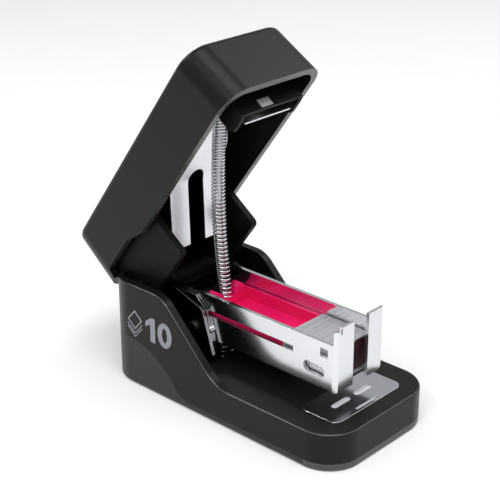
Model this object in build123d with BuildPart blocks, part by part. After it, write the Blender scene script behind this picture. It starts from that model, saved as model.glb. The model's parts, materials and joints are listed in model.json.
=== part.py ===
from build123d import *
from math import atan2, cos, degrees, radians, sin, sqrt
import os

# Mini desktop stapler, shown with its cover lifted to load staples.
# Millimetres, +Z up, +X towards the anvil end, origin on the desk under the centre of the base.
# The cover's pieces are drawn where they lie when it is closed, on planes that are lifted
# about the hinge, so their numbers read like the base's own.

# ---------------------------------------------------------------- driving sizes: base
base_length = 63.0
base_width = 31.9
base_corner = 7.5
cavity_corner = 3.2
deck_height = 8.1
cheek_height = 23.15
cheek_wall = 1.95
slope_foot = 0.8                # where the 45 degree slope of the cheek would meet the deck
rim_round = 0.45
sole_floor = 1.6
sole_skirt = 1.0
sole_step = 0.7                 # how far the sole's foot steps in
base_wall = 2.1
base_floor = 1.4
deck_wall = 2.0
deck_overhang = 7.6             # how far the deck reaches back behind the slope's foot
boss_radius = 2.2

anvil_thickness = 1.0
anvil_proud = 0.12
anvil_length = 9.3
anvil_half_width = 10.5
anvil_margin = 3.9              # from the anvil to the front of the base
clinch_radius = 0.65
clinch_span = (0.8, 6.1)

# ---------------------------------------------------------------- driving sizes: hinge
hinge_inset = 6.5               # from the rear of the base to the hinge axis
hinge_z = 19.5
pin_radius = 1.5
pin_bite = 1.0                  # how far the pin's ends reach into the cheeks
running_fit = 0.05
press_fit = 0.02
side_clearance = 0.3
bracket_wall = 0.8
layer_gap = 0.2                 # between the yoke and the bracket
washer_room = 0.7               # between the bracket and the cover's ears
ear_wall = 1.6
ear_rear = 2.7
spring_wire = 0.5

# ---------------------------------------------------------------- driving sizes: magazine
crown_width = 12.7              # a standard staple
staple_leg = 6.0
wire = 0.5
staple_count = 24
magazine_wall = 0.8
magazine_gap = 0.8              # from the base's rear wall to the magazine
magazine_bottom = 12.5
magazine_top = 22.3
magazine_setback = 7.0          # from the front of the base to the nose
nose_wall = 0.7
nose_top = 25.8
nose_bottom = 12.2
nose_bend = 0.9
driver_gap = 1.6                # room behind the nose for the driver and one staple
rail_top = 19.35
yoke_wall = 0.6
yoke_gap = 0.05
press_travel = 4.4              # degrees that the magazine dips when the stapler is pressed
tray_length = 22.4
tray_travel = 8.0               # how far the tray can be drawn back
tray_wall = 0.7
tray_top = 19.2
tray_bottom = 14.7
horn_top = 21.0

# ---------------------------------------------------------------- driving sizes: cover
cover_angle = 54.05             # how far the cover is lifted from level
cover_top = 38.4
cover_rim = 25.55
cover_rear_rim = 25.4
cover_side_rim = 27.5           # the rim is higher beside the hinge
cover_wall = 1.6
cover_corner = 5.5
cover_round = 1.3
lean_rear = 0.7
lean_front = 1.1
ear_reach = 17.2                # from the hinge axis to the front edge of an ear
ear_bottom = 16.4
frame_wall = 1.2
blade_wall = 0.5
blade_gap = 0.9                 # from the first staple to the driver
blade_tip = 23.2
blade_top = 34.5
holder_gap = 0.7                # from the nose to the holder's front wall
holder_wall = 0.75
holder_foot = 23.2
leaf_wall = 0.5
leaf_half = 7.3
leaf_slot = 2.2                    # half the width of the fork's slot
follower_radius = 1.45
follower_wire = 0.4
screw_radius = 0.8

# ---------------------------------------------------------------- worked-out sizes
half_length = base_length / 2
half_width = base_width / 2
hinge_x = hinge_inset - half_length
cheek_inner = half_width - cheek_wall
cavity_front = slope_foot - deck_overhang
cavity_rear = base_wall - half_length
cavity_floor = sole_floor + base_floor
hollow_top = deck_height - deck_wall
cheek_top_x = slope_foot - (cheek_height - deck_height)
anvil_front = half_length - anvil_margin
anvil_mid = anvil_front - anvil_length / 2
pin_half = cheek_inner + pin_bite

magazine_front = half_length - magazine_setback
magazine_rear = cavity_rear + magazine_gap
channel_half = crown_width / 2 + 0.2
magazine_half = channel_half + magazine_wall
channel_floor = magazine_bottom + magazine_wall
nose_inner = magazine_front - nose_wall
staple_front = nose_inner - driver_gap
staple_rear = staple_front - staple_count * wire
yoke_inner = magazine_half + yoke_gap
bracket_inner = yoke_inner + yoke_wall + layer_gap
bracket_outer = bracket_inner + bracket_wall
ear_inner = bracket_outer + washer_room
ear_front = hinge_x + ear_reach
tray_front = staple_rear - 0.05
tray_rear = tray_front - tray_length
tray_half = channel_half - 0.35

lift = radians(cover_angle)
along = Vector(cos(lift), 0, sin(lift))
upward = Vector(-sin(lift), 0, cos(lift))
cover_origin = Vector(hinge_x, 0, hinge_z) - along * hinge_x - upward * hinge_z
cover_side = Plane(origin=cover_origin, x_dir=along, z_dir=(0, -1, 0))
cover_plan = Plane(origin=cover_origin, x_dir=along, z_dir=upward)
cover_half = cheek_inner - side_clearance
ceiling = cover_top - cover_wall
frame_bottom = ceiling - frame_wall
ear_outer = ear_inner + ear_wall
blade_half = channel_half - 0.15
blade_radius = staple_front + blade_gap - hinge_x
holder_front = magazine_front + holder_gap

os.makedirs("parts", exist_ok=True)


def keep(piece, label):
    piece.part.label = label
    export_step(piece.part, f"parts/{label}.step")


def both_sides(plane, inner, thickness):
    # two planes, so that extruding by the thickness makes a pair of plates at +Y and -Y
    return plane.offset(inner), plane.offset(-inner - thickness)


def bore_across(plane, x, z, radius, half, mode=Mode.SUBTRACT):
    with BuildSketch(plane) as bore:
        with Locations((x, z)):
            Circle(radius)
    extrude(bore.sketch, amount=half, both=True, mode=mode)


def box_between(x0, x1, half, z0, z1, plane=Plane.XY, mode=Mode.ADD):
    with BuildSketch(plane.offset(z0)) as floor:
        with Locations(((x0 + x1) / 2, 0)):
            Rectangle(x1 - x0, 2 * half)
    extrude(floor.sketch, amount=z1 - z0, mode=mode)


def posts(places, radius, z0, z1, plane=Plane.XY, mode=Mode.ADD):
    with BuildSketch(plane.offset(z0)) as feet:
        with Locations(*places):
            Circle(radius)
    extrude(feet.sketch, amount=z1 - z0, mode=mode)


def four(x0, x1, y):
    return [(x0, y), (x0, -y), (x1, y), (x1, -y)]


# ---------------------------------------------------------------- base shell and its sole
screw_places = four(cavity_front + 5.3, half_length - 6, 10)
screw_head = 1.6
screw_tip = 5.0
foot_round = 0.6


def base_plan(inset):
    RectangleRounded(base_length - 2 * inset, base_width - 2 * inset, base_corner - inset)


with BuildPart() as base_sole:
    with BuildSketch():
        base_plan(0)
    extrude(amount=hollow_top * 2)
    # side view: the sole climbs in a swoosh round the heel and runs low along the sides
    with BuildSketch(Plane.XZ):
        with BuildLine():
            swoosh = Spline((-half_length - 1, 9.4), (-24, 10.8), (-17.6, 9.2), (-10.6, 3.6),
                            (-5.5, sole_floor), tangents=((1, 0.3), (1, 0)))
            Polyline(swoosh @ 1, (half_length + 1, sole_floor), (half_length + 1, -1),
                     (-half_length - 1, -1), swoosh @ 0)
        make_face()
    extrude(amount=half_width + 1, both=True, mode=Mode.INTERSECT)
    fillet(base_sole.edges().group_by(Axis.Z)[0], foot_round)
    with BuildSketch(Plane.XY.offset(sole_floor)):
        base_plan(sole_skirt)
    extrude(amount=hollow_top * 2, mode=Mode.SUBTRACT)
    posts(screw_places, screw_head + 0.1, 0, 1.0, mode=Mode.SUBTRACT)
    posts(screw_places, screw_radius + running_fit, 0, sole_floor, mode=Mode.SUBTRACT)
keep(base_sole, "base_sole")

with BuildPart() as base_shell:
    with BuildSketch(Plane.XZ):
        with BuildLine():
            rim = FilletPolyline((-half_length, cheek_height - 0.6), (hinge_x + 2, cheek_height),
                                 (cheek_top_x, cheek_height), (slope_foot, deck_height),
                                 (half_length, deck_height), radius=(14, 6.5, 8.5))
            Polyline(rim @ 1, (half_length, sole_floor), (-half_length, sole_floor), rim @ 0)
        make_face()
    extrude(amount=half_width, both=True)
    with BuildSketch():
        base_plan(0)
    extrude(amount=cheek_height + 1, mode=Mode.INTERSECT)
    top_edges = base_shell.edges().filter_by(lambda e: e.center().Z > deck_height - 0.2)
    outline = top_edges.filter_by(
        lambda e: abs(e.center().Y) > 1 or abs(e.center().X) > half_length - 0.5)
    fillet(outline.filter_by(Axis.Z, reverse=True), rim_round)
    # room between the cheeks, over the deck and down to the floor behind it
    box_between(cavity_front, half_length + 1, cheek_inner, deck_height, cheek_height + 1,
                mode=Mode.SUBTRACT)
    with BuildSketch(Plane.XY.offset(cavity_floor)):
        with Locations(((cavity_rear + cavity_front) / 2, 0)):
            RectangleRounded(cavity_front - cavity_rear, 2 * cheek_inner, cavity_corner)
        with Locations((cavity_front - cavity_corner, 0)):
            Rectangle(2 * cavity_corner, 2 * cheek_inner)
    extrude(amount=cheek_height, mode=Mode.SUBTRACT)
    # slots that let the cover's ears swing back through the rear wall
    with BuildSketch(Plane.XY.offset(hinge_z - 7.5)):
        with Locations((-half_length, ear_inner + ear_wall / 2), (-half_length, -ear_inner - ear_wall / 2)):
            Rectangle(2 * (half_length + hinge_x), ear_wall + 2 * side_clearance)
    extrude(amount=cheek_height, mode=Mode.SUBTRACT)
    # hollow under the deck, with a boss for each screw
    box_between(cavity_front + base_wall, half_length - base_wall, half_width - 2 * base_wall,
                sole_floor, hollow_top, mode=Mode.SUBTRACT)
    posts(screw_places, boss_radius, sole_floor, hollow_top)
    posts(screw_places, screw_radius + press_fit, sole_floor, screw_tip + 0.3, mode=Mode.SUBTRACT)
    # seat of the anvil and the blind bores of the hinge pin
    with BuildSketch(Plane.XY.offset(deck_height - anvil_thickness + anvil_proud)):
        with Locations((anvil_mid, 0)):
            RectangleRounded(anvil_length + 0.2, 2 * anvil_half_width + 0.2, 2.1)
    extrude(amount=anvil_thickness, mode=Mode.SUBTRACT)
    bore_across(Plane.XZ, hinge_x, hinge_z, pin_radius + press_fit, pin_half)
    add(base_sole.part, mode=Mode.SUBTRACT)
keep(base_shell, "base_shell")

with BuildPart() as sole_screws:
    posts(screw_places, screw_head, 0.3, 1.0)
    posts(screw_places, screw_radius, 1.0, screw_tip)
keep(sole_screws, "sole_screws")

with BuildPart() as anvil_plate:
    with BuildSketch(Plane.XY.offset(deck_height + anvil_proud)):
        with Locations((anvil_mid, 0)):
            RectangleRounded(anvil_length, 2 * anvil_half_width, 2)
    extrude(amount=-anvil_thickness)
    # two grooves that turn the staple's legs in, and a sight groove in front of them
    with BuildSketch(Plane.XY.offset(deck_height + anvil_proud)):
        clinch_x = staple_front + driver_gap / 2
        clinch_y = sum(clinch_span) / 2
        with Locations((clinch_x, clinch_y), (clinch_x, -clinch_y)):
            SlotOverall(clinch_span[1] - clinch_span[0], 2 * clinch_radius, rotation=90)
        with Locations((anvil_front - 0.9, 0)):
            Rectangle(0.45, 6.8)
    extrude(amount=-0.45, mode=Mode.SUBTRACT)
keep(anvil_plate, "anvil_plate")

# ---------------------------------------------------------------- printed marks on the near cheek
mark_plane = Plane.XZ.offset(half_width)
mark_wall = 0.1
figure_height = 5.5
figure_z = 11.95

with BuildPart() as sheet_icon:
    with BuildSketch(mark_plane):
        with BuildLine():
            Polyline((-24.3, 15.1), (-22.1, 17.6), (-19.9, 15.7), (-22.1, 13.2), close=True)
        make_face()
        offset(amount=-0.28, mode=Mode.SUBTRACT)
    extrude(amount=mark_wall)
    for drop in (0.75, 1.5):
        with BuildSketch(mark_plane):
            with BuildLine():
                Polyline((-24.3, 15.1 - drop), (-22.1, 13.2 - drop), (-19.9, 15.7 - drop),
                         (-19.9, 15.4 - drop), (-22.1, 12.9 - drop), (-24.3, 14.8 - drop), close=True)
            make_face()
        extrude(amount=mark_wall)
keep(sheet_icon, "sheet_icon")

with BuildPart() as capacity_mark:
    with BuildSketch(mark_plane):
        with BuildLine():
            Polyline((-17.45, figure_z), (-16.05, figure_z), (-16.05, figure_z + figure_height),
                     (-17.2, figure_z + figure_height), (-18.85, figure_z + 4.3),
                     (-18.85, figure_z + 3.1), (-17.45, figure_z + 3.95), close=True)
        make_face()
        with Locations((-13.25, figure_z + figure_height / 2)):
            Ellipse(2.05, figure_height / 2 + 0.05)
            Ellipse(0.75, figure_height / 2 - 1.05, mode=Mode.SUBTRACT)
    extrude(amount=mark_wall)
keep(capacity_mark, "capacity_mark")

# ---------------------------------------------------------------- hinge pieces in the base
with BuildPart() as hinge_pin:
    bore_across(Plane.XZ, hinge_x, hinge_z, pin_radius, pin_half - 0.05, mode=Mode.ADD)
keep(hinge_pin, "hinge_pin")

bracket_rear = cavity_rear + 0.6
bracket_front = cavity_front - 1.2
bracket_top = cavity_floor + bracket_wall
stud_x = hinge_x + 13
stud_z = 14.6
stud_radius = 0.7
bracket_screw_places = [(hinge_x, 0), (hinge_x + 6.5, 0)]

with BuildPart() as hinge_bracket:
    box_between(bracket_rear, bracket_front, bracket_outer, cavity_floor, bracket_top)
    with BuildSketch(*both_sides(Plane.XZ, bracket_inner, bracket_wall)):
        with BuildLine():
            FilletPolyline((bracket_rear, cavity_floor), (bracket_rear, hinge_z + 2.1),
                           (hinge_x + 8, hinge_z + 2.5), (hinge_x + 15.5, hinge_z + 0.1),
                           (bracket_front + 1.6, 9.6), (bracket_front, 8.6), (bracket_front, cavity_floor),
                           radius=(1.5, 2.5, 1.0, 0.5, 0.3))
            Line((bracket_front, cavity_floor), (bracket_rear, cavity_floor))
        make_face()
    extrude(amount=bracket_wall)
    bore_across(Plane.XZ, hinge_x, hinge_z, pin_radius + press_fit, half_width)
    bore_across(Plane.XZ, stud_x, stud_z, stud_radius + press_fit, half_width)
    posts(bracket_screw_places, screw_radius + press_fit, 0, cheek_height, mode=Mode.SUBTRACT)
keep(hinge_bracket, "hinge_bracket")

with BuildPart() as bracket_screws:
    posts(bracket_screw_places, screw_head, bracket_top, bracket_top + 0.8)
    posts(bracket_screw_places, screw_radius, cavity_floor, bracket_top)
keep(bracket_screws, "bracket_screws")

# studs on the bracket that stop the magazine at the top of its dip
stud_length = bracket_outer - yoke_inner - 0.1
with BuildPart() as stop_studs:
    with BuildSketch(*both_sides(Plane.XZ, yoke_inner + 0.1, stud_length)):
        with Locations((stud_x, stud_z)):
            Circle(stud_radius)
    extrude(amount=stud_length)
    with BuildSketch(*both_sides(Plane.XZ, bracket_outer, 0.45)):
        with Locations((stud_x, stud_z)):
            Circle(1.3)
    extrude(amount=0.45)
keep(stop_studs, "stop_studs")

with BuildPart() as hinge_washers:
    washer_wall = washer_room - 2 * running_fit
    spacer_wall = cheek_inner - ear_outer - running_fit - 0.2
    for inner, wall in ((bracket_outer + running_fit, washer_wall),
                        (ear_outer + running_fit, spacer_wall)):
        with BuildSketch(*both_sides(Plane.XZ, inner, wall)):
            with Locations((hinge_x, hinge_z)):
                Circle(pin_radius + 0.7)
                Circle(pin_radius + press_fit, mode=Mode.SUBTRACT)
        extrude(amount=wall)
keep(hinge_washers, "hinge_washers")

yoke_bottom = magazine_bottom - yoke_gap - yoke_wall
with BuildPart() as magazine_return_spring:
    with BuildSketch(Plane.XY.offset(bracket_top + running_fit)):
        with Locations((stud_x, 0)):
            Circle(2.6)
            Circle(2.6 - spring_wire, mode=Mode.SUBTRACT)
    extrude(amount=yoke_bottom - bracket_top - 2 * running_fit)
keep(magazine_return_spring, "magazine_return_spring")

# ---------------------------------------------------------------- magazine
rivet_places = ((hinge_x + 4.5, 14.9), (stud_x + 3.3, 14.6))
core_pin_places = [(tray_rear + 6.3, 0), (staple_front - 7.2, 0)]

with BuildPart() as magazine_channel:
    with BuildSketch(Plane.XY.offset(magazine_bottom)) as channel_plan:
        with Locations(((magazine_rear + magazine_front) / 2, 0)):
            Rectangle(magazine_front - magazine_rear, 2 * magazine_half)
        fillet(channel_plan.vertices().group_by(Axis.X)[-1], nose_bend)
    extrude(amount=magazine_top - magazine_bottom)
    with BuildSketch(Plane.XY.offset(nose_bottom)) as nose_plan:
        with Locations((nose_inner + nose_wall / 2 - 0.2, 0)):
            Rectangle(nose_wall + 0.4, 2 * magazine_half)
        fillet(nose_plan.vertices().group_by(Axis.X)[-1], nose_bend)
    extrude(amount=nose_top - nose_bottom)
    box_between(magazine_rear - 1, nose_inner, channel_half, channel_floor, nose_top + 1, mode=Mode.SUBTRACT)
    box_between(nose_inner - 1, nose_inner, magazine_half + 1, magazine_top, nose_top + 1, mode=Mode.SUBTRACT)
    box_between(staple_front + 0.05, nose_inner, channel_half, 0, channel_floor, mode=Mode.SUBTRACT)
    # the two wings of the nose: a slit at the top, a window below it, open to the bottom
    with BuildSketch(Plane.YZ.offset(nose_inner)):
        with Locations((0.4, nose_top)):
            Rectangle(1.0, 2 * (nose_top - 23.6))
        with Locations((0.25, 23.6)):
            Rectangle(4.5, 2 * (23.6 - nose_bottom), align=(Align.CENTER, Align.CENTER))
        with Locations((-magazine_half, nose_top)):
            Rectangle(2 * 1.4, 2 * 0.6)
        with Locations((-5.75, nose_top - 0.7)):
            Rectangle(0.45, 1.4)
        with Locations((magazine_half, nose_bottom)):
            Rectangle(1.6, 1.6, rotation=45)
    extrude(amount=nose_wall + 0.1, mode=Mode.SUBTRACT)
    # side slot, inspection hole and long hole, through both walls
    with BuildSketch(Plane.XZ):
        with Locations(((tray_rear + staple_rear + 5.1) / 2, 18.3)):
            Rectangle(staple_rear + 2.1 - tray_rear, 1.25)
        with Locations((magazine_front - 2.95, 20.1)):
            Rectangle(1.9, 1.85)
        with Locations((magazine_front - 5.4, 15.85)):
            SlotOverall(5.3, 2.3, rotation=-4)
    extrude(amount=half_width, both=True, mode=Mode.SUBTRACT)
    bore_across(Plane.XZ, hinge_x, hinge_z, pin_radius + running_fit, half_width)
    for x, z in rivet_places:
        bore_across(Plane.XZ, x, z, screw_radius + press_fit, half_width)
    posts(core_pin_places, screw_radius + press_fit, 0, cheek_height, mode=Mode.SUBTRACT)
keep(magazine_channel, "magazine_channel")

with BuildPart() as magazine_yoke:
    yoke_front = cavity_front - 0.8
    box_between(magazine_rear, yoke_front, yoke_inner + yoke_wall, yoke_bottom, yoke_bottom + yoke_wall)
    with BuildSketch(*both_sides(Plane.XZ, yoke_inner, yoke_wall)):
        with BuildLine():
            Polyline((magazine_rear, yoke_bottom), (magazine_rear, hinge_z + 2),
                     (yoke_front - 4.4, hinge_z + 2), (yoke_front - 1.5, hinge_z - 0.5),
                     (yoke_front, yoke_bottom), close=True)
        make_face()
    extrude(amount=yoke_wall)
    bore_across(Plane.XZ, hinge_x, hinge_z, pin_radius + running_fit, half_width)
    for x, z in rivet_places:
        bore_across(Plane.XZ, x, z, screw_radius + press_fit, half_width)
    # slots in which the bracket's studs travel
    stud_arm = Vector(stud_x - hinge_x, 0, stud_z - hinge_z)
    stud_end = stud_arm.rotate(Axis.Y, -press_travel)
    stud_path = stud_end - stud_arm
    stud_room = stud_radius + 0.12
    with BuildSketch(Plane.XZ):
        with Locations((stud_x + stud_path.X / 2, stud_z + stud_path.Z / 2)):
            SlotOverall(stud_path.length + 2 * stud_room, 2 * stud_room,
                        rotation=degrees(atan2(stud_path.Z, stud_path.X)))
    extrude(amount=half_width, both=True, mode=Mode.SUBTRACT)
keep(magazine_yoke, "magazine_yoke")

with BuildPart() as yoke_rivets:
    with BuildSketch(*both_sides(Plane.XZ, channel_half, magazine_wall + yoke_gap + yoke_wall)):
        with Locations(*rivet_places):
            Circle(screw_radius)
    extrude(amount=magazine_wall + yoke_gap + yoke_wall)
keep(yoke_rivets, "yoke_rivets")

with BuildPart() as magazine_bush:
    with BuildSketch(Plane.XZ):
        with Locations((hinge_x, hinge_z)):
            Circle(pin_radius + 1.1)
            Circle(pin_radius + running_fit, mode=Mode.SUBTRACT)
    extrude(amount=channel_half - running_fit, both=True)
keep(magazine_bush, "magazine_bush")

core_half = crown_width / 2 - wire - 0.1
rail_half = 4.6
rail_low = 15.8
with BuildPart() as staple_core:
    box_between(tray_rear - tray_travel - 0.75, staple_rear + 0.1, rail_half, channel_floor, rail_low)
    box_between(staple_rear + 0.1, staple_front, core_half, channel_floor, rail_top)
    with BuildSketch(Plane.YZ.offset(staple_front)):
        with Locations((-1.2, 18), (1.0, 18), (1.8, 18)):
            Rectangle(0.3, 20)
    extrude(amount=-0.4, mode=Mode.SUBTRACT)
    posts(core_pin_places, screw_radius + press_fit, 0, rail_low - 1, mode=Mode.SUBTRACT)
keep(staple_core, "staple_core")

with BuildPart() as core_pins:
    posts(core_pin_places, screw_radius, magazine_bottom, rail_low - 1.05)
keep(core_pins, "core_pins")

crown_top = rail_top + wire + press_fit
with BuildPart() as staple_strip:
    with BuildSketch(*[Plane.YZ.offset(staple_rear + i * wire) for i in range(staple_count)]) as staple:
        with Locations((0, crown_top - staple_leg / 2)):
            Rectangle(crown_width, staple_leg)
        fillet(staple.vertices().group_by(Axis.Y)[-1], 0.4)
        with Locations((0, crown_top - wire - staple_leg / 2)):
            Rectangle(crown_width - 2 * wire, staple_leg, mode=Mode.SUBTRACT)
    extrude(amount=wire - press_fit)
keep(staple_strip, "staple_strip")

# ---------------------------------------------------------------- pusher tray and its spring peg
tray_floor = rail_low + 0.2
saddle_length = 2.4
saddle_floor = 18.9
follower_foot = (tray_rear + 0.75, 19.05)

with BuildPart() as pusher_tray:
    box_between(tray_rear, tray_front, tray_half, tray_bottom, tray_top)
    box_between(tray_rear - 1, tray_front + 1, rail_half + 0.2, 0, tray_floor, mode=Mode.SUBTRACT)
    box_between(tray_rear + saddle_length, tray_front - tray_wall, tray_half - tray_wall,
                tray_floor + tray_wall, tray_top + 1, mode=Mode.SUBTRACT)
    # horned saddle that the follower spring sits in
    with BuildSketch(Plane.YZ.offset(tray_rear)) as saddle:
        with BuildLine():
            Spline((tray_half, tray_top), (4.8, tray_top + 0.5), (3.5, horn_top), (2.3, tray_top + 0.9),
                   (1.75, saddle_floor), tangents=((-1, 0), (0, -1)))
            Line((1.75, saddle_floor), (1.75, tray_top - 1.5))
            Line((1.75, tray_top - 1.5), (tray_half, tray_top - 1.5))
            Line((tray_half, tray_top - 1.5), (tray_half, tray_top))
        make_face()
        mirror(about=Plane.YZ)
    extrude(amount=saddle_length)
    with BuildSketch(Plane.XY.offset(saddle_floor)):
        with Locations((follower_foot[0], 0)):
            Rectangle(6, 3.5)
    extrude(amount=3, mode=Mode.SUBTRACT)
    # groove along each flank
    with BuildSketch(*both_sides(Plane.XZ, tray_half - 0.3, 0.6)):
        with Locations(((tray_rear + tray_front) / 2, 18.25)):
            Rectangle(tray_length - 1.2, 0.32)
    extrude(amount=0.6, mode=Mode.SUBTRACT)
    with BuildSketch(Plane.YZ.offset(tray_front)):
        with Locations((3.6, tray_top)):
            Circle(0.6)
    extrude(amount=-tray_wall, mode=Mode.SUBTRACT)
    posts([(follower_foot[0], 0)], 0.9 + press_fit, saddle_floor - 1.5, saddle_floor, mode=Mode.SUBTRACT)
keep(pusher_tray, "pusher_tray")

with BuildPart() as spring_peg:
    posts([(follower_foot[0], 0)], 0.9, saddle_floor - 1.5, saddle_floor + 1.4)
keep(spring_peg, "spring_peg")

# ---------------------------------------------------------------- cover
holder_rear = magazine_front - 7.2
frame_screw_places = four(hinge_x + 5, holder_rear - 9.1, 7.8)
frame_screw_head = 1.25
leaf_rivet_places = [(holder_rear - 4.1, 3), (holder_rear - 4.1, -3)]
holder_half = magazine_half + side_clearance + 1.0
holder_screw_places = [(holder_rear + 1.3, 5), (holder_rear + 1.3, -5)]
screw_grip = 1.0


def cover_block(inset):
    # the cover's side view, carried down below its rim; its ends lean in towards the top
    foot = cover_rim - 8
    reach = (cover_top - foot) / (cover_top - cover_rim)
    with BuildLine() as block:
        Polyline((-half_length + lean_rear * (1 - reach) + inset, foot),
                 (half_length - lean_front * (1 - reach) - inset, foot),
                 (half_length - lean_front - inset, cover_top - inset),
                 (-half_length + lean_rear + inset, cover_top - inset), close=True)
    make_face(block.edges())


def upright_edges(piece):
    return piece.edges().filter_by(lambda e: abs((e @ 1 - e @ 0).dot(upward)) > cover_wall)


with BuildPart() as cover_room:
    with BuildSketch(cover_side):
        cover_block(cover_wall)
    extrude(amount=cover_half - cover_wall, both=True)
    fillet(upright_edges(cover_room), cover_corner - cover_wall)

with BuildPart() as cover_shell:
    with BuildSketch(cover_side):
        cover_block(0)
    extrude(amount=cover_half, both=True)
    fillet(upright_edges(cover_shell), cover_corner)
    crown = cover_shell.edges().filter_by(
        lambda e: cover_plan.to_local_coords(e.center()).Z > cover_top - 0.01)
    fillet(crown, cover_round)
    add(cover_room.part, mode=Mode.SUBTRACT)
    with BuildSketch(cover_side):
        with BuildLine():
            rim = FilletPolyline((-half_length - 2, cover_rear_rim), (hinge_x - 1.9, cover_rear_rim),
                                 (hinge_x - 1.3, cover_side_rim), (hinge_x + 8.8, cover_side_rim),
                                 (hinge_x + 13.8, cover_rim), (half_length + 2, cover_rim),
                                 radius=(0.6, 0.6, 4, 4))
            Polyline(rim @ 1, (half_length + 2, 0), (-half_length - 2, 0), rim @ 0)
        make_face()
    extrude(amount=half_width, both=True, mode=Mode.SUBTRACT)
    posts(frame_screw_places + holder_screw_places, screw_radius + press_fit, 0, ceiling + screw_grip,
          plane=cover_plan, mode=Mode.SUBTRACT)
keep(cover_shell, "cover_shell")

with BuildPart() as inner_frame:
    frame_rear = hinge_x - ear_rear
    box_between(frame_rear + 1.7, holder_rear - 0.1, ear_outer, frame_bottom, ceiling, plane=cover_plan)
    with BuildSketch(*both_sides(cover_side, ear_inner, ear_wall)):
        with BuildLine():
            FilletPolyline((frame_rear, ceiling), (frame_rear, 18.6), (frame_rear + 2.4, ear_bottom),
                           (ear_front, ear_bottom), (ear_front, 27), (ear_front + 2, ceiling),
                           radius=(1, 1, 1.2, 4))
            Line((ear_front + 2, ceiling), (frame_rear, ceiling))
        make_face()
    extrude(amount=ear_wall)
    bore_across(cover_side, hinge_x, hinge_z, pin_radius + running_fit, half_width)
    posts(frame_screw_places, screw_radius + press_fit, 0, cover_top, plane=cover_plan, mode=Mode.SUBTRACT)
    posts(leaf_rivet_places, screw_radius + press_fit, 0, cover_top, plane=cover_plan, mode=Mode.SUBTRACT)
keep(inner_frame, "inner_frame")

with BuildPart() as frame_screws:
    posts(frame_screw_places, frame_screw_head, frame_bottom - 0.8, frame_bottom, plane=cover_plan)
    posts(frame_screw_places, screw_radius, frame_bottom, ceiling + screw_grip - 0.05, plane=cover_plan)
keep(frame_screws, "frame_screws")

leaf_bottom = frame_bottom - leaf_wall
with BuildPart() as leaf_spring:
    with BuildSketch(cover_side):
        with BuildLine():
            FilletPolyline((hinge_x + 10.9, 20.5), (hinge_x + 21.9, 29.1), (hinge_x + 28.9, 31.3),
                           (hinge_x + 34.6, leaf_bottom + leaf_wall / 2),
                           (holder_rear - 1.1, leaf_bottom + leaf_wall / 2), radius=(6, 3, 3))
        trace(line_width=leaf_wall)
    extrude(amount=leaf_half, both=True)
    with BuildSketch(cover_plan):
        with Locations((hinge_x + 3, 0)):
            Rectangle(38, 2 * leaf_slot)
        with Locations((hinge_x + 22, 0)):
            Circle(leaf_slot)
        # the foot is narrower, to pass between the screw heads
        with Locations((hinge_x + 41, 7.3), (hinge_x + 41, -7.3)):
            Rectangle(20, 1.8)
    extrude(amount=cover_top, mode=Mode.SUBTRACT)
    posts(leaf_rivet_places, screw_radius + press_fit, 0, cover_top, plane=cover_plan, mode=Mode.SUBTRACT)
keep(leaf_spring, "leaf_spring")

with BuildPart() as leaf_rivets:
    posts(leaf_rivet_places, 1.2, leaf_bottom - 0.4, leaf_bottom, plane=cover_plan)
    posts(leaf_rivet_places, screw_radius, leaf_bottom, ceiling, plane=cover_plan)
keep(leaf_rivets, "leaf_rivets")


def blade_zone(inner, outer, low, high):
    # a band round the hinge axis, cut off below and above
    with Locations((hinge_x, hinge_z)):
        Circle(outer)
        if inner > 0:
            Circle(inner, mode=Mode.SUBTRACT)
    with Locations(((holder_rear + holder_front + 10) / 2, (low + high) / 2)):
        Rectangle(holder_front + 10 - holder_rear, high - low, mode=Mode.INTERSECT)


with BuildPart() as driver_blade:
    with BuildSketch(cover_side):
        blade_zone(blade_radius, blade_radius + blade_wall, blade_tip, blade_top)
    extrude(amount=blade_half, both=True)
keep(driver_blade, "driver_blade")

anchor = (holder_rear + 0.95, 34.25)
anchor_radius = 0.5
# where the back of the blade's top edge lies, and the bar behind it
bar_front = hinge_x + sqrt(blade_radius ** 2 - (blade_top - hinge_z) ** 2) - 0.7
with BuildPart() as driver_holder:
    with BuildSketch(cover_side):
        blade_zone(0, blade_radius - press_fit, 30.5, ceiling)
    extrude(amount=blade_half, both=True)
    box_between(holder_rear, bar_front, holder_half, 33.2, ceiling, plane=cover_plan)
    with BuildSketch(*both_sides(cover_side, holder_half - 1, 1)):
        with BuildLine():
            Polyline((holder_rear, ceiling), (holder_rear, 33.2), (holder_front - 4.3, 31),
                     (holder_front - 4.3, holder_foot + 0.7), (holder_front - 3.6, holder_foot),
                     (holder_front - 0.4, holder_foot), (holder_front + holder_wall, holder_foot + 0.4),
                     (holder_front + holder_wall, ceiling), close=True)
        make_face()
    extrude(amount=1)
    box_between(holder_front, holder_front + holder_wall, holder_half, holder_foot + 0.4,
                ceiling, plane=cover_plan)
    with BuildSketch(cover_side):
        with Locations(anchor):
            Circle(anchor_radius + press_fit)
    extrude(amount=3.1, both=True, mode=Mode.SUBTRACT)
    # pocket for the follower spring, window in the front wall, holes for the screws
    box_between(holder_rear - 1, bar_front - 0.05, 1.9, 0, ceiling + 1, plane=cover_plan, mode=Mode.SUBTRACT)
    with BuildSketch(cover_plan.offset(holder_foot + 0.7)):
        with Locations((holder_front + holder_wall / 2, -1.0)):
            Rectangle(holder_wall + 0.2, 3.5)
    extrude(amount=2.1, mode=Mode.SUBTRACT)
    posts(holder_screw_places, screw_radius + press_fit, 0, cover_top, plane=cover_plan, mode=Mode.SUBTRACT)
keep(driver_holder, "driver_holder")

with BuildPart() as holder_screws:
    posts(holder_screw_places, 1.2, 29.9, 30.5, plane=cover_plan)
    posts(holder_screw_places, screw_radius, 30.5, ceiling + screw_grip - 0.05, plane=cover_plan)
keep(holder_screws, "holder_screws")

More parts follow.
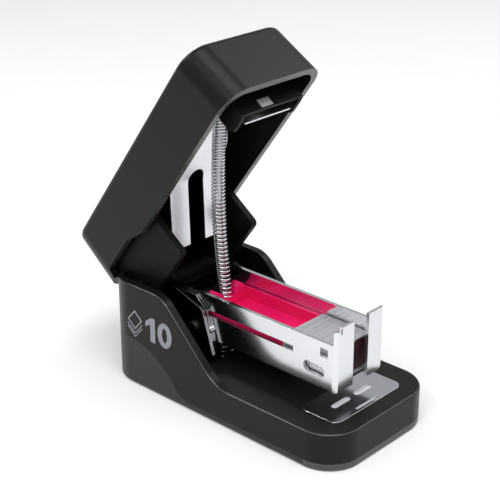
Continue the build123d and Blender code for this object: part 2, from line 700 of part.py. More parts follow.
with BuildPart() as spring_anchor:
    with BuildSketch(cover_side):
        with Locations(anchor):
            Circle(anchor_radius)
    extrude(amount=3.0, both=True)
keep(spring_anchor, "spring_anchor")

# the follower spring runs from the pusher's saddle up to its anchor, bowed a little to the rear
anchor_world = cover_origin + along * anchor[0] + upward * anchor[1]
foot_world = Vector(follower_foot[0], 0, follower_foot[1])
head_world = anchor_world - Vector(0, 0, anchor_radius + 0.15)
bow_world = (foot_world + head_world) / 2 + Vector(-1.9, 0, 0)
with BuildPart() as follower_spring:
    with BuildLine() as spring_path:
        ThreePointArc(foot_world, bow_world, head_world)
    with BuildSketch(Plane(origin=spring_path.line @ 0, z_dir=spring_path.line % 0)):
        Circle(follower_radius)
        Circle(follower_radius - follower_wire, mode=Mode.SUBTRACT)
    sweep()
keep(follower_spring, "follower_spring")
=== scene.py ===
import json
import math
import bmesh
import bpy
from mathutils import Matrix, Vector


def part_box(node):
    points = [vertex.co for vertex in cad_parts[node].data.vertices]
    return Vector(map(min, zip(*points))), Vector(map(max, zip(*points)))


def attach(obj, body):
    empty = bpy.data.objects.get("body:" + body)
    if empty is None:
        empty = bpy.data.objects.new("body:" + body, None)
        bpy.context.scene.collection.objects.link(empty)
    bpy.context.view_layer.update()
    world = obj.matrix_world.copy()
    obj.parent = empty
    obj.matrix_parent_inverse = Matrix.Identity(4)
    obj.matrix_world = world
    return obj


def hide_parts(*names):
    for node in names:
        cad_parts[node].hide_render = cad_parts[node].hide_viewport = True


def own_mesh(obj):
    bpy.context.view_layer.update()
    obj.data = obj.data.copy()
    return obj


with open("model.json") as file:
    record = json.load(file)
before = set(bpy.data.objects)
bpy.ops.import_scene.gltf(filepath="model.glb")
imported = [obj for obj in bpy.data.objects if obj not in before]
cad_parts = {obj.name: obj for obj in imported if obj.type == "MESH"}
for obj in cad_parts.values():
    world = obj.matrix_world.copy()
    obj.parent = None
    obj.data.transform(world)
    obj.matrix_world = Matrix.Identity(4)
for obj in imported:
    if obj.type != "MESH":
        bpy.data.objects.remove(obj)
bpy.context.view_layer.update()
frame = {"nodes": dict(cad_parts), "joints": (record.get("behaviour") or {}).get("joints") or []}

mm = 0.001
openAngle = math.radians(54.05)  # the open cover comes down this far to lie level
coverAlong = Vector((math.cos(openAngle), 0, math.sin(openAngle)))
coverUp = Vector((-math.sin(openAngle), 0, math.cos(openAngle)))
hinge = next(joint for joint in frame["joints"] if joint["name"] == "cover_hinge")
hingePoint = Vector(hinge["pos_m"])
coverTravel = math.radians(hinge["range_deg"][1])
print("frame loaded:", len(frame["nodes"]), "parts")


# a socket that does sums, and one method that adds any node
class Wire:
    def __init__(self, graph, socket):
        self.graph = graph
        self.socket = socket

    def combine(self, operation, first, second):
        return self.graph.node("ShaderNodeMath", {"operation": operation}, {0: first, 1: second})

    def __add__(self, other):
        return self.combine("ADD", self, other)

    def __radd__(self, other):
        return self.combine("ADD", other, self)

    def __sub__(self, other):
        return self.combine("SUBTRACT", self, other)

    def __rsub__(self, other):
        return self.combine("SUBTRACT", other, self)

    def __mul__(self, other):
        return self.combine("MULTIPLY", self, other)

    def __rmul__(self, other):
        return self.combine("MULTIPLY", other, self)

    def __truediv__(self, other):
        return self.combine("DIVIDE", self, other)


class Graph:
    def node(self, kind, settings=None, inputs=None, output=0):
        made = self.tree.nodes.new(kind)
        for key, value in (settings or {}).items():
            if key == "stops":
                for element, (position, tone) in zip(made.color_ramp.elements, value):
                    element.position = position
                    element.color = (tone, tone, tone, 1)
            else:
                setattr(made, key, value)
        for key, value in (inputs or {}).items():
            self.plug(made.inputs[key], value)
        return Wire(self, made.outputs[output])

    def plug(self, socket, value):
        if isinstance(value, Wire):
            self.tree.links.new(value.socket, socket)
        elif socket.type == "RGBA":
            socket.default_value = (*value, 1)  # colours are written without their alpha
        else:
            socket.default_value = value


class Finish(Graph):
    # a material with one Principled surface
    def __init__(self, name):
        self.material = bpy.data.materials.new(name)
        self.material.use_nodes = True
        self.tree = self.material.node_tree
        self.surface = self.tree.nodes["Principled BSDF"]

    def set(self, **values):
        for key, value in values.items():
            self.plug(self.surface.inputs[key.replace("_", " ")], value)

    def place(self, scale=(1, 1, 1)):
        coords = self.node("ShaderNodeTexCoord", output="Object")
        return self.node("ShaderNodeMapping", {}, {"Vector": coords, "Scale": scale})

    def noise(self, place, scale, detail, roughness=0.5):
        return self.node("ShaderNodeTexNoise", {}, {
            "Vector": place, "Scale": scale, "Detail": detail, "Roughness": roughness})

    def ramp(self, value, low, high):
        return self.node("ShaderNodeValToRGB", {"stops": [(low, 0), (high, 1)]}, {0: value})

    def blend(self, factor, first, second):
        return self.node("ShaderNodeMix", {"data_type": "RGBA"}, {0: factor, 6: first, 7: second}, output=2)

    def bump(self, height, strength, depth):
        return self.node("ShaderNodeBump", {}, {
            "Height": height, "Strength": strength, "Distance": depth * mm})


class Growth(Graph):
    # a geometry tree with named inputs, ending in its realised shape and its material
    def __init__(self, name, inputs):
        self.tree = bpy.data.node_groups.new(name, "GeometryNodeTree")
        for label, kind in inputs.items():
            self.tree.interface.new_socket(label, in_out="INPUT", socket_type="NodeSocket" + kind)
        self.tree.interface.new_socket("Geometry", in_out="OUTPUT", socket_type="NodeSocketGeometry")
        self.given = self.tree.nodes.new("NodeGroupInput")

    def input(self, label):
        return Wire(self, self.given.outputs[label])

    def axes(self, label):
        given = self.input(label)
        return [self.node("ShaderNodeSeparateXYZ", {}, {0: given}, output=axis) for axis in range(3)]

    def finish(self, shape):
        real = self.node("GeometryNodeRealizeInstances", {}, {0: shape})
        painted = self.node("GeometryNodeSetMaterial", {}, {
            "Geometry": real, "Material": self.input("Finish")})
        self.plug(self.tree.nodes.new("NodeGroupOutput").inputs[0], painted)

    def make(self, name, values):
        piece = linked(name, bpy.data.meshes.new(name))
        modifier = piece.modifiers.new(name, "NODES")
        modifier.node_group = self.tree
        for item in self.tree.interface.items_tree:
            if item.in_out == "INPUT":
                modifier[item.identifier] = values[item.name]
        return applied(piece)


def linked(name, data):
    made = bpy.data.objects.new(name, data)
    bpy.context.scene.collection.objects.link(made)
    return made


def applied(piece):
    # the modifiers' result becomes the piece's own plain mesh
    evaluated = piece.evaluated_get(bpy.context.evaluated_depsgraph_get())
    mesh = bpy.data.meshes.new_from_object(evaluated)
    piece.modifiers.clear()
    piece.data = mesh
    return piece


def meshPiece(name, shape, *materials):
    mesh = bpy.data.meshes.new(name)
    shape.to_mesh(mesh)
    shape.free()
    for material in materials:
        mesh.materials.append(material)
    return linked(name, mesh)


def placed(piece, body, slot, *nodes):
    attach(piece, body)
    if nodes:
        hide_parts(*nodes)
    return piece


# satin mouldings: spark-eroded grain, a slow drift of tone, and faint scuffs from handling
plasticOptions = {
    "shellBlack": {"colour": (0.0058, 0.0051, 0.0058), "tint": (0.0085, 0.0074, 0.0078), "roughness": 0.26,
                   "specular": 0.19},
    # a lighter grey painted on the shells' rims and broken edges as a highlight
    "shellEdgePaintedHighlight": {"colour": (0.026, 0.024, 0.023), "tint": (0.050, 0.046, 0.043), "roughness": 0.18},
    # the sole's foot band, painted lighter as a sheen
    "footPaintedSheen": {"colour": (0.050, 0.047, 0.049), "tint": (0.064, 0.060, 0.062), "roughness": 0.30},
    # darker and rougher inner faces: painted shade in the hollows
    "shellInsidePaintedShade": {"colour": (0.0030, 0.0028, 0.0030), "tint": (0.0050, 0.0045, 0.0048), "roughness": 0.50,
                    "specular": 0.12},
    "soleBlack": {"colour": (0.022, 0.020, 0.021), "tint": (0.030, 0.027, 0.028), "roughness": 0.36,
                  "specular": 0.28},
    "innerBlack": {"colour": (0.0028, 0.0027, 0.0030), "tint": (0.0048, 0.0045, 0.0048), "roughness": 0.45,
                   "specular": 0.16},
    "pusherRed": {"colour": (0.76, 0.008, 0.110), "tint": (0.88, 0.014, 0.150), "roughness": 0.12,
                  "grain": 0.006, "coat": 0.30},
    # the core's red plastic, painted dark maroon as the shade it lies in
    "coreRedPaintedShade": {"colour": (0.030, 0.006, 0.011), "tint": (0.050, 0.010, 0.018), "roughness": 0.30},
    # matte pale, painted to stand in for the bright reflection of the steel in the holder's window
    "platePaintedReflection": {"colour": (0.46, 0.46, 0.47), "tint": (0.54, 0.54, 0.55), "roughness": 0.35},
}
mouldOptions = {"driftScale": 90, "driftShare": 0.05, "scuffScale": 600, "scuffShare": 0.12,
                "scuffStretch": (1, 1, 3), "grainScale": 5200, "grainStrength": 0.35, "coatRoughness": 0.12}


def mouldedPlastic(name, colour, tint, roughness, grain=0.012, coat=0.0, specular=0.5):
    finish = Finish(name)
    place = finish.place()
    drift = finish.noise(place, mouldOptions["driftScale"], 2)
    texture = finish.noise(place, mouldOptions["grainScale"], 2, 0.6)
    scuff = finish.noise(finish.place(mouldOptions["scuffStretch"]), mouldOptions["scuffScale"], 5, 0.65)
    worn = mouldOptions["scuffShare"] * scuff + mouldOptions["driftShare"] * drift
    finish.set(Base_Color=finish.blend(drift, colour, tint), Roughness=roughness + worn,
               Normal=finish.bump(texture, mouldOptions["grainStrength"], grain), Coat_Weight=coat,
               Coat_Roughness=mouldOptions["coatRoughness"], Specular_IOR_Level=specular)
    return finish.material


# sheet metal and wire: fine rolling lines along one direction and faint handling marks
steelOptions = {
    "magazineSteel": {"colour": (0.78, 0.79, 0.80), "dull": (0.71, 0.72, 0.74), "roughness": 0.07,
                      "depth": 0.0002},
    "leafSteel": {"colour": (0.80, 0.80, 0.82), "dull": (0.70, 0.70, 0.73), "roughness": 0.20},
    "springSteel": {"colour": (0.78, 0.78, 0.80), "dull": (0.66, 0.66, 0.68), "roughness": 0.03,
                    "along": (1, 1, 1), "depth": 0.001},
    "anvilSteel": {"colour": (0.68, 0.69, 0.72), "dull": (0.60, 0.61, 0.64), "roughness": 0.07,
                   "along": (1, 0.06, 1), "depth": 0.001},
    # near white: a painted highlight in the clinch grooves
    "clinchPaintedHighlight": {"colour": (0.98, 0.98, 0.99), "dull": (0.92, 0.92, 0.94), "roughness": 0.30,
                    "along": (1, 0.06, 1), "depth": 0.001, "metal": 0.35},
    "bracketBlack": {"colour": (0.022, 0.021, 0.024), "dull": (0.014, 0.014, 0.016), "roughness": 0.28},
    # a light grey on the bracket's and yoke's edges: bare cut steel, lightened as a painted highlight
    "cutEdgePaintedHighlight": {"colour": (0.50, 0.50, 0.52), "dull": (0.38, 0.38, 0.40), "roughness": 0.18,
                "along": (1, 1, 0.06)},
    "pinSteel": {"colour": (0.80, 0.80, 0.82), "dull": (0.66, 0.66, 0.69), "roughness": 0.16,
                 "along": (1, 1, 1)},
    "screwSteel": {"colour": (0.40, 0.40, 0.43), "dull": (0.30, 0.30, 0.33), "roughness": 0.24,
                   "along": (1, 1, 1)},
}
rollOptions = {"lineScale": 5200, "lineShare": 0.12, "lineStrength": 0.3, "markScale": 160, "markShare": 0.06}


def rolledSteel(name, colour, dull, roughness, along=(0.06, 1, 1), depth=0.004, metal=1.0):
    finish = Finish(name)
    lines = finish.noise(finish.place(along), rollOptions["lineScale"], 4, 0.6)
    marks = finish.noise(finish.place(), rollOptions["markScale"], 5, 0.6)
    worn = rollOptions["lineShare"] * lines + rollOptions["markShare"] * marks
    finish.set(Base_Color=finish.blend(marks, dull, colour), Metallic=metal, Roughness=roughness + worn,
               Normal=finish.bump(lines, rollOptions["lineStrength"], depth))
    return finish.material


wireOptions = {"dark": (0.56, 0.57, 0.59), "light": (0.74, 0.74, 0.76), "glue": (0.55, 0.55, 0.55),
               "glueShare": 0.25, "glueScale": 420, "glueSmear": (2, 0.4, 0.4), "roughness": 0.22,
               "glueDulls": 0.18, "toneDulls": 0.08}


def stapleWire():
    # each staple is a little lighter or darker than the next, with glue smeared over the row
    finish = Finish("drawnStapleWire")
    tone = finish.node("ShaderNodeAttribute", {"attribute_name": "tone"}, output="Fac")
    glue = finish.noise(finish.place(wireOptions["glueSmear"]), wireOptions["glueScale"], 4, 0.6)
    shade = finish.blend(tone, wireOptions["dark"], wireOptions["light"])
    dulled = wireOptions["glueDulls"] * glue + wireOptions["toneDulls"] * tone
    finish.set(Base_Color=finish.blend(glue * wireOptions["glueShare"], shade, wireOptions["glue"]),
               Metallic=1.0, Roughness=wireOptions["roughness"] + dulled)
    return finish.material


markOptions = {"worn": (0.16, 0.165, 0.18), "ink": (0.25, 0.26, 0.285), "speckleScale": 2600,
               "wear": (0.30, 0.42), "roughness": 0.45, "speckleShare": 0.15, "strength": 0.25, "depth": 0.01}


def printedMark():
    # pad-printed grey ink with a dry, slightly broken surface
    finish = Finish("printedMark")
    speckle = finish.noise(finish.place(), markOptions["speckleScale"], 4, 0.6)
    wear = finish.ramp(speckle, *markOptions["wear"])
    finish.set(Base_Color=finish.blend(wear, markOptions["worn"], markOptions["ink"]),
               Roughness=markOptions["roughness"] + markOptions["speckleShare"] * speckle,
               Normal=finish.bump(speckle, markOptions["strength"], markOptions["depth"]))
    return finish.material


finishes = {name: mouldedPlastic(name, **values) for name, values in plasticOptions.items()}
finishes.update({name: rolledSteel(name, **values) for name, values in steelOptions.items()})
finishes["stapleWire"] = stapleWire()
finishes["markGrey"] = printedMark()
print("finishes made:", len(finishes))


# parts that keep their exact shape and take a finish
keptParts = {
    "screwSteel": ("sole_screws", "bracket_screws", "frame_screws", "holder_screws"),
    "pinSteel": ("hinge_pin", "stop_studs", "yoke_rivets", "core_pins", "spring_peg", "leaf_rivets",
                 "spring_anchor"),
    "innerBlack": ("hinge_washers", "magazine_bush"),
    "markGrey": ("sheet_icon", "capacity_mark"),
}
for finishName, partNames in keptParts.items():
    for partName in partNames:
        for partSlot in frame["nodes"][partName].material_slots:
            partSlot.material = finishes[finishName]
print("kept parts:", sum(len(partNames) for partNames in keptParts.values()))


# the cover's hollow, painted darker as shade, and its rim, painted lighter as a highlight, told by a face's
# place and the way it faces
coverOptions = {"hollowHalf": 12.4, "roof": 1.0, "endWall": 3.0, "endFacing": 0.3, "rimFacing": 0.9,
                "rimDepth": 3.5}
coverSpots = [vertex.co - hingePoint for vertex in frame["nodes"]["cover_shell"].data.vertices]
coverRear = min(coverAlong.dot(spot) for spot in coverSpots) + coverOptions["endWall"] * mm
coverFront = max(coverAlong.dot(spot) for spot in coverSpots) - coverOptions["endWall"] * mm
coverRoof = max(coverUp.dot(spot) for spot in coverSpots) - coverOptions["roof"] * mm
coverFoot = min(coverUp.dot(spot) for spot in coverSpots) + coverOptions["rimDepth"] * mm


def insideCover(spot, facing):
    # away from the outer skin, and facing into the hollow at the two ends: these faces take painted shade
    if abs(spot.y) > coverOptions["hollowHalf"] * mm or coverUp.dot(spot - hingePoint) > coverRoof:
        return False
    reach = coverAlong.dot(spot - hingePoint)
    ahead = coverAlong.dot(facing)
    frontSkin = ahead > coverOptions["endFacing"] and reach > coverFront
    rearSkin = ahead < -coverOptions["endFacing"] and reach < coverRear
    return not (frontSkin or rearSkin)


# the cover's downward-facing rim, painted lighter as a highlight
def coverRim(spot, facing):
    return coverUp.dot(facing) < -coverOptions["rimFacing"] and coverUp.dot(spot - hingePoint) < coverFoot


baseOptions = {"hollowHalf": 14.2, "wellGap": 3.0, "rearWall": 1.0, "facing": 0.5, "rimSide": 14.8,
               "rimFrontGap": 8.0, "rimFrontTop": 9.0, "rimFacing": (0.42, 0.90), "rimOutward": 0.25}
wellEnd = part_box("hinge_bracket")[1].x + baseOptions["wellGap"] * mm
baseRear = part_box("base_shell")[0].x


def insideBase(spot, facing):
    # the well that the magazine dips into, and the inner sides of the cheeks, painted darker as shade
    within = abs(spot.y) < baseOptions["hollowHalf"] * mm and spot.x < wellEnd
    rearSkin = facing.x <= -baseOptions["facing"] and spot.x <= baseRear + baseOptions["rearWall"] * mm
    return within and facing.z < baseOptions["facing"] and not rearSkin


def rimRound(spot, facing):
    # the narrow round where the base's sides meet its top, painted lighter as a highlight along the rim
    lowest, highest = baseOptions["rimFacing"]
    side = abs(facing.y) > baseOptions["rimOutward"] and abs(spot.y) > baseOptions["rimSide"] * mm
    ahead = spot.x > -baseRear - baseOptions["rimFrontGap"] * mm and spot.z < baseOptions["rimFrontTop"] * mm
    front = facing.x > baseOptions["rimOutward"] and ahead
    return lowest < facing.z < highest and (side or front)


anvilOptions = {"sunk": 0.06, "facing": 0.2, "sideGap": 1.0, "rearGap": 1.0, "frontGap": 0.6}
anvilLow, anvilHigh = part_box("anvil_plate")


def clinchGroove(spot, facing):
    # the grooves that fold the staple's legs, below the anvil's face, painted near white as a highlight
    sunk = spot.z < anvilHigh.z - anvilOptions["sunk"] * mm and facing.z > anvilOptions["facing"]
    across = abs(spot.y) < anvilHigh.y - anvilOptions["sideGap"] * mm
    rear = anvilLow.x + anvilOptions["rearGap"] * mm
    front = anvilHigh.x - anvilOptions["frontGap"] * mm
    return sunk and across and rear < spot.x < front


edgeOptions = {"frontFacing": 0.9, "frontAbove": 5.0, "footTop": 1.5, "footFacing": 0.9}


def frontEdge(spot, facing):
    # the blanked front edges of the hinge's side plates, bare steel painted light grey as a highlight
    return facing.x > edgeOptions["frontFacing"] and spot.z > edgeOptions["frontAbove"] * mm


def footBand(spot, facing):
    # the band round the foot of the sole, a little shinier than the moulding above it and painted lighter as
    # a stand-in for light from the floor
    return spot.z < edgeOptions["footTop"] * mm and abs(facing.z) < edgeOptions["footFacing"]


# parts whose edges are broken by a small round, as moulded or blanked ones are:
# body, slot, finish and the width of the round
roundedParts = {
    "base_shell": ("base", "shell_plastic", "shellBlack", 0.16),
    "base_sole": ("base", "sole_plastic", "soleBlack", 0.16),
    "cover_shell": ("cover", "shell_plastic", "shellBlack", 0.16),
    "inner_frame": ("cover", "inner_plastic", "innerBlack", 0.12),
    "driver_holder": ("cover", "inner_plastic", "innerBlack", 0.10),
    "driver_blade": ("cover", "leaf_steel", "leafSteel", 0.05),
    "leaf_spring": ("cover", "leaf_steel", "leafSteel", 0.08),
    "magazine_channel": ("magazine", "magazine_steel", "magazineSteel", 0.12),
    "magazine_yoke": ("magazine", "magazine_steel", "bracketBlack", 0.08),
    # the core is red plastic painted dark as shade
    "staple_core": ("magazine", "core_plastic", "coreRedPaintedShade", 0.08),
    "pusher_tray": ("pusher", "pusher_plastic", "pusherRed", 0.12),
    "anvil_plate": ("base", "anvil_steel", "anvilSteel", 0.06),
    "hinge_bracket": ("base", "dark_steel", "bracketBlack", 0.10),
}
# lighter finishes on the broken edges and rims: painted highlights
edgeFinishes = {"hinge_bracket": "cutEdgePaintedHighlight", "magazine_yoke": "cutEdgePaintedHighlight", "base_shell": "shellEdgePaintedHighlight",
                "cover_shell": "shellEdgePaintedHighlight"}
edgeFaces = {"base_shell": rimRound, "cover_shell": coverRim}
# region finishes: painted shade in the hollows and painted highlights elsewhere
regions = {"cover_shell": (insideCover, "shellInsidePaintedShade"), "base_shell": (insideBase, "shellInsidePaintedShade"),
           "anvil_plate": (clinchGroove, "clinchPaintedHighlight"), "hinge_bracket": (frontEdge, "cutEdgePaintedHighlight"),
           "magazine_yoke": (frontEdge, "cutEdgePaintedHighlight"), "base_sole": (footBand, "footPaintedSheen")}
roundOptions = {"weld": 0.002, "flatWithin": 0.6, "sharpOver": 38, "segments": 2}


def roundedCopy(node, body, slot, finishName, edge):
    # three finishes: the part's own, the one on its edges, and the one of its region
    edgeName = edgeFinishes.get(node, finishName)
    region, regionName = regions.get(node, (None, finishName))
    edged = edgeFaces.get(node)
    shape = bmesh.new()
    shape.from_mesh(frame["nodes"][node].data)
    bmesh.ops.remove_doubles(shape, verts=shape.verts, dist=roundOptions["weld"] * mm)
    bmesh.ops.dissolve_limit(shape, angle_limit=math.radians(roundOptions["flatWithin"]), verts=shape.verts,
                             edges=shape.edges, delimit={"NORMAL"})
    for face in shape.faces:
        face.smooth = True
        spot = face.calc_center_median()
        if edged and edged(spot, face.normal):
            face.material_index = 1
        elif region and region(spot, face.normal):
            face.material_index = 2
    used = [finishes[name] for name in (finishName, edgeName, regionName)]
    piece = meshPiece(node + "Finished", shape, *used)
    bevel = piece.modifiers.new("brokenEdges", "BEVEL")
    bevel.width = edge * mm
    bevel.segments = roundOptions["segments"]
    bevel.limit_method = "ANGLE"
    bevel.angle_limit = math.radians(roundOptions["sharpOver"])
    bevel.use_clamp_overlap = True
    bevel.loop_slide = False
    # the bevel takes the edge finish, a painted highlight
    if node in edgeFinishes:
        bevel.material = 1
    flat = piece.modifiers.new("flatFaces", "WEIGHTED_NORMAL")
    flat.mode = "FACE_AREA_WITH_ANGLE"
    return placed(applied(piece), body, slot, node)


rounded = {partName: roundedCopy(partName, *values) for partName, values in roundedParts.items()}
print("rounded parts:", len(rounded))


# coil springs
def coilTree():
    tree = Growth("coilSpring", {
        "Foot": "Vector", "Head": "Vector", "Bow": "Float", "Gather": "Float", "Coil Radius": "Float",
        "Wire Radius": "Float", "Turns": "Float", "Points": "Int", "Sides": "Int", "Finish": "Material"})
    foot = tree.axes("Foot")
    head = tree.axes("Head")
    rise = head[2] - foot[2]
    spiral = tree.node("GeometryNodeCurveSpiral", {}, {
        "Resolution": tree.input("Points"), "Rotations": tree.input("Turns"), "Height": rise,
        "Start Radius": tree.input("Coil Radius"), "End Radius": tree.input("Coil Radius")})
    spot = tree.node("GeometryNodeInputPosition")
    share = tree.node("ShaderNodeSeparateXYZ", {}, {0: spot}, output=2) / rise
    gathered = tree.input("Gather") * share * (1.0 - share)  # closes the pitch towards the head
    height = share + gathered
    sway = tree.input("Bow") * 4.0 * height * (1.0 - height)  # the whole bow at half height
    shift = tree.node("ShaderNodeCombineXYZ", {}, {
        0: foot[0] + (head[0] - foot[0]) * height + sway, 1: foot[1] + (head[1] - foot[1]) * height,
        2: foot[2] + gathered * rise})
    line = tree.node("GeometryNodeSetPosition", {}, {"Geometry": spiral, "Offset": shift})
    section = tree.node("GeometryNodeCurvePrimitiveCircle", {}, {
        "Resolution": tree.input("Sides"), "Radius": tree.input("Wire Radius")})
    tube = tree.node("GeometryNodeCurveToMesh", {}, {
        "Curve": line, "Profile Curve": section, "Fill Caps": True})
    tree.finish(tree.node("GeometryNodeSetShadeSmooth", {}, {"Geometry": tube}))
    return tree


coils = coilTree()


def coilBetween(name, node, options):
    # as tall as its plain solid, with the ends of the wire inside it
    low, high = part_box(node)
    wireRadius = options["wire"] * mm / 2
    foot = Vector((options["footX"] * mm, 0, low.z + wireRadius))
    head = Vector((options["headX"] * mm, 0, high.z - wireRadius))
    coil = coils.make(name, {
        "Foot": foot, "Head": head, "Bow": options["bow"] * mm, "Gather": options["gather"],
        "Coil Radius": options["outerRadius"] * mm - wireRadius, "Wire Radius": wireRadius,
        "Turns": options["turns"], "Points": options["points"], "Sides": options["sides"],
        "Finish": finishes["springSteel"]})
    return coil, foot, head


# the follower spring runs from the cover to the pusher; the share of its length kept with the cover down is
# worked out
followerOptions = {"footX": -11.2, "headX": -11.85, "bow": -1.6, "gather": 0.23, "outerRadius": 1.45,
                   "wire": 0.41, "turns": 57.0, "points": 20, "sides": 8}
follower, followerFoot, followerHead = coilBetween("followerCoil", "follower_spring", followerOptions)
placed(follower, "cover", "spring_steel", "follower_spring")
footLowered = Matrix.Rotation(-coverTravel, 3, "Y") @ (followerFoot - hingePoint) + hingePoint
drift = followerFoot - footLowered
followerKeep = 1 - drift.length_squared / (followerFoot - followerHead).dot(drift)
tuple(followerHead)
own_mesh(follower)
print("follower spring keeps", round(followerKeep, 3))

# the return spring lifts the magazine off the base
returnOptions = {"footX": -12.0, "headX": -12.0, "bow": 0.0, "gather": 0.0, "outerRadius": 2.6, "wire": 0.5,
                 "turns": 6.5, "points": 28, "sides": 8, "keep": 0.88}
returnSpring, returnFoot = coilBetween("returnCoil", "magazine_return_spring", returnOptions)[:2]
placed(returnSpring, "base", "spring_steel", "magazine_return_spring")
tuple(returnFoot)
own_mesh(returnSpring)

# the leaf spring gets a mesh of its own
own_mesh(rounded["leaf_spring"])
print("springs made")


def bars(name, places, corner, segments, material):
    # boxes with broken corners: each place carries a corner of the unit cube to where it belongs
    shape = bmesh.new()
    for place in places:
        for vertex in bmesh.ops.create_cube(shape, size=1)["verts"]:
            vertex.co = place(*vertex.co)
    bmesh.ops.bevel(shape, geom=shape.edges[:], offset=corner * mm, segments=segments, profile=0.5,
                    affect="EDGES")
    bmesh.ops.recalc_face_normals(shape, faces=shape.faces[:])
    for face in shape.faces:
        face.smooth = segments > 1
    return meshPiece(name, shape, material)


# dark strips along the pusher's flanks, seen through the magazine's side slots: painted shade standing for
# the shadowed groove in each flank
stripOptions = {"height": 0.30, "proud": 0.06, "sink": 0.10, "level": 18.22, "rearGap": 1.2, "frontGap": 0.5,
                "corner": 0.04}


def stripPlace(side):
    low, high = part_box("pusher_tray")
    wall = high.y if side > 0 else -low.y
    start = low.x + stripOptions["rearGap"] * mm
    length = high.x - stripOptions["frontGap"] * mm - start

    def place(along, out, up):
        depth = stripOptions["proud"] if out > 0 else -stripOptions["sink"]
        level = (stripOptions["level"] + up * stripOptions["height"]) * mm
        return start + (along + 0.5) * length, side * (wall + depth * mm), level
    return place


# black strips: painted shade
strips = bars("grooveShadeStrips", [stripPlace(-1), stripPlace(1)], stripOptions["corner"], 1,
              finishes["innerBlack"])
placed(strips, "pusher", "inner_plastic")


# a pale plate in the window of the driver holder, its matte pale colour painted in place of the steel's
# bright reflection, measured on the level cover
plateOptions = {"ahead": 25.28, "thick": 0.55, "across": -1.0, "width": 3.4, "low": 23.94, "high": 25.96,
                "corner": 0.12}


def platePlace(along, out, up):
    ahead = (plateOptions["ahead"] + (along + 0.5) * plateOptions["thick"]) * mm - hingePoint.x
    rise = plateOptions["low"] + (up + 0.5) * (plateOptions["high"] - plateOptions["low"])
    side = (plateOptions["across"] + out * plateOptions["width"]) * mm
    return hingePoint + coverAlong * ahead + coverUp * (rise * mm - hingePoint.z) + Vector((0, side, 0))


plate = bars("windowPlate", [platePlace], plateOptions["corner"], 2, finishes["platePaintedReflection"])
placed(plate, "cover", "leaf_steel")
print("strips and plate made")


# the strip of staples
stapleOptions = {"count": 24, "wire": 0.5, "thick": 0.41, "round": 0.0902, "corner": 0.42, "bend": 4,
                 "seed": 7}


def stapleTree():
    tree = Growth("stapleStrip", {
        "Left Foot": "Vector", "Left Shoulder": "Vector", "Right Shoulder": "Vector", "Right Foot": "Vector",
        "Count": "Int", "Pitch": "Float", "Thickness": "Float", "Round": "Float", "Corner": "Float",
        "Bend": "Int", "Seed": "Int", "Finish": "Material"})
    path = tree.node("GeometryNodeCurvePrimitiveQuadrilateral", {"mode": "POINTS"}, {
        "Point 1": tree.input("Left Foot"), "Point 2": tree.input("Left Shoulder"),
        "Point 3": tree.input("Right Shoulder"), "Point 4": tree.input("Right Foot")})
    opened = tree.node("GeometryNodeSetSplineCyclic", {}, {"Geometry": path, "Cyclic": False})
    bent = tree.node("GeometryNodeFilletCurve", {"mode": "POLY"}, {
        "Curve": opened, "Count": tree.input("Bend"), "Radius": tree.input("Corner"), "Limit Radius": True})
    section = tree.node("GeometryNodeCurvePrimitiveQuadrilateral", {"mode": "RECTANGLE"}, {
        "Width": tree.input("Thickness"), "Height": tree.input("Thickness")})
    soft = tree.node("GeometryNodeFilletCurve", {"mode": "POLY"}, {
        "Curve": section, "Count": 2, "Radius": tree.input("Round"), "Limit Radius": True})
    one = tree.node("GeometryNodeCurveToMesh", {}, {"Curve": bent, "Profile Curve": soft, "Fill Caps": True})
    step = tree.node("ShaderNodeCombineXYZ", {}, {0: tree.input("Pitch")})
    row = tree.node("GeometryNodeMeshLine", {"mode": "OFFSET"}, {
        "Count": tree.input("Count"), "Offset": step})
    copies = tree.node("GeometryNodeInstanceOnPoints", {}, {"Points": row, "Instance": one})
    chance = tree.node("FunctionNodeRandomValue", {"data_type": "FLOAT"}, {"Seed": tree.input("Seed")},
                       output=1)
    tree.finish(tree.node("GeometryNodeStoreNamedAttribute", {"data_type": "FLOAT", "domain": "INSTANCE"}, {
        "Geometry": copies, "Name": "tone", "Value": chance}))
    return tree


low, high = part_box("staple_strip")
half = stapleOptions["wire"] * mm / 2
outline = {"Left Foot": (low.y + half, low.z), "Left Shoulder": (low.y + half, high.z - half),
           "Right Shoulder": (high.y - half, high.z - half), "Right Foot": (high.y - half, low.z)}
staples = stapleTree().make("stapleRow", {
    **{label: (low.x + half, y, z) for label, (y, z) in outline.items()},
    "Count": stapleOptions["count"], "Pitch": stapleOptions["wire"] * mm,
    "Thickness": stapleOptions["thick"] * mm, "Round": stapleOptions["round"] * mm,
    "Corner": stapleOptions["corner"] * mm,
    "Bend": stapleOptions["bend"], "Seed": stapleOptions["seed"], "Finish": finishes["stapleWire"]})
placed(staples, "magazine", "staple_wire", "staple_strip")
print("staples:", stapleOptions["count"], len(staples.data.polygons), "faces")


# a pale paper floor
floorOptions = {"size": 4.0, "tone": 0.88, "fibre": 0.02, "fibreScale": 60, "roughness": 0.9, "specular": 0.1}


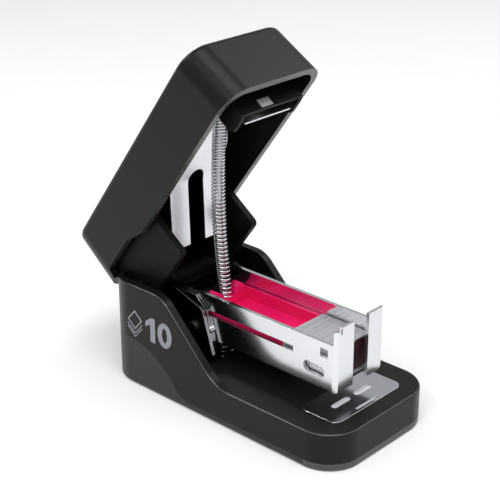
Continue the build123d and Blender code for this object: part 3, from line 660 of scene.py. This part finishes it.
def floorFinish():
    finish = Finish("paperFloor")
    tone = floorOptions["tone"]
    light = tone + floorOptions["fibre"]
    fibre = finish.noise(finish.place(), floorOptions["fibreScale"], 3)
    finish.set(Base_Color=finish.blend(fibre, (tone, tone, tone), (light, light, light)),
               Roughness=floorOptions["roughness"], Specular_IOR_Level=floorOptions["specular"])
    return finish.material


floorMesh = bpy.data.meshes.new("floor")
reach = floorOptions["size"] / 2
floorMesh.from_pydata([(-reach, -reach, 0), (reach, -reach, 0), (reach, reach, 0), (-reach, reach, 0)], [],
                      [(0, 1, 2, 3)])
floorMesh.materials.append(floorFinish())
linked("floor", floorMesh)


# soft studio light from above, and three small lamps that draw the glints along the edges
studioOptions = {"backdrop": (0.95, 0.97, 1.0, 1), "backdropStrength": 0.50, "target": (0, 0, 0.025)}
lampOptions = {
    "overhead": {"at": (0.20, -0.10, 0.70), "size": 0.45, "power": 2.9},
    "edge": {"at": (-0.36, -0.26, 0.44), "size": 0.10, "power": 0.70},
    "corner": {"at": (0.12, -0.42, 0.44), "size": 0.16, "power": 0.75},
    "back": {"at": (0.10, 0.44, 0.48), "size": 0.30, "power": 0.75},
}

world = bpy.data.worlds.new("studio")
world.use_nodes = True
bpy.context.scene.world = world
backdrop = world.node_tree.nodes["Background"]
backdrop.inputs["Color"].default_value = studioOptions["backdrop"]
backdrop.inputs["Strength"].default_value = studioOptions["backdropStrength"]

for lampName, options in lampOptions.items():
    lampData = bpy.data.lights.new(lampName, "AREA")
    lampData.energy = options["power"]
    lampData.size = options["size"]
    lamp = linked(lampName, lampData)
    lamp.location = options["at"]
    aim = Vector(studioOptions["target"]) - Vector(options["at"])
    lamp.rotation_euler = aim.to_track_quat("-Z", "Y").to_euler()

cameraOptions = {"at": (0.1595, -0.17732, 0.13809), "down": 23.85, "turn": 42.74, "lens": 93.89, "sensor": 36,
                 "near": 0.01}
cameraData = bpy.data.cameras.new("camera")
cameraData.lens = cameraOptions["lens"]
cameraData.sensor_width = cameraOptions["sensor"]
cameraData.clip_start = cameraOptions["near"]
camera = linked("camera", cameraData)
camera.location = cameraOptions["at"]
camera.rotation_euler = (math.radians(90 - cameraOptions["down"]), 0, math.radians(cameraOptions["turn"]))
bpy.context.scene.camera = camera
bpy.context.scene.view_settings.view_transform = "Standard"
print("studio set")
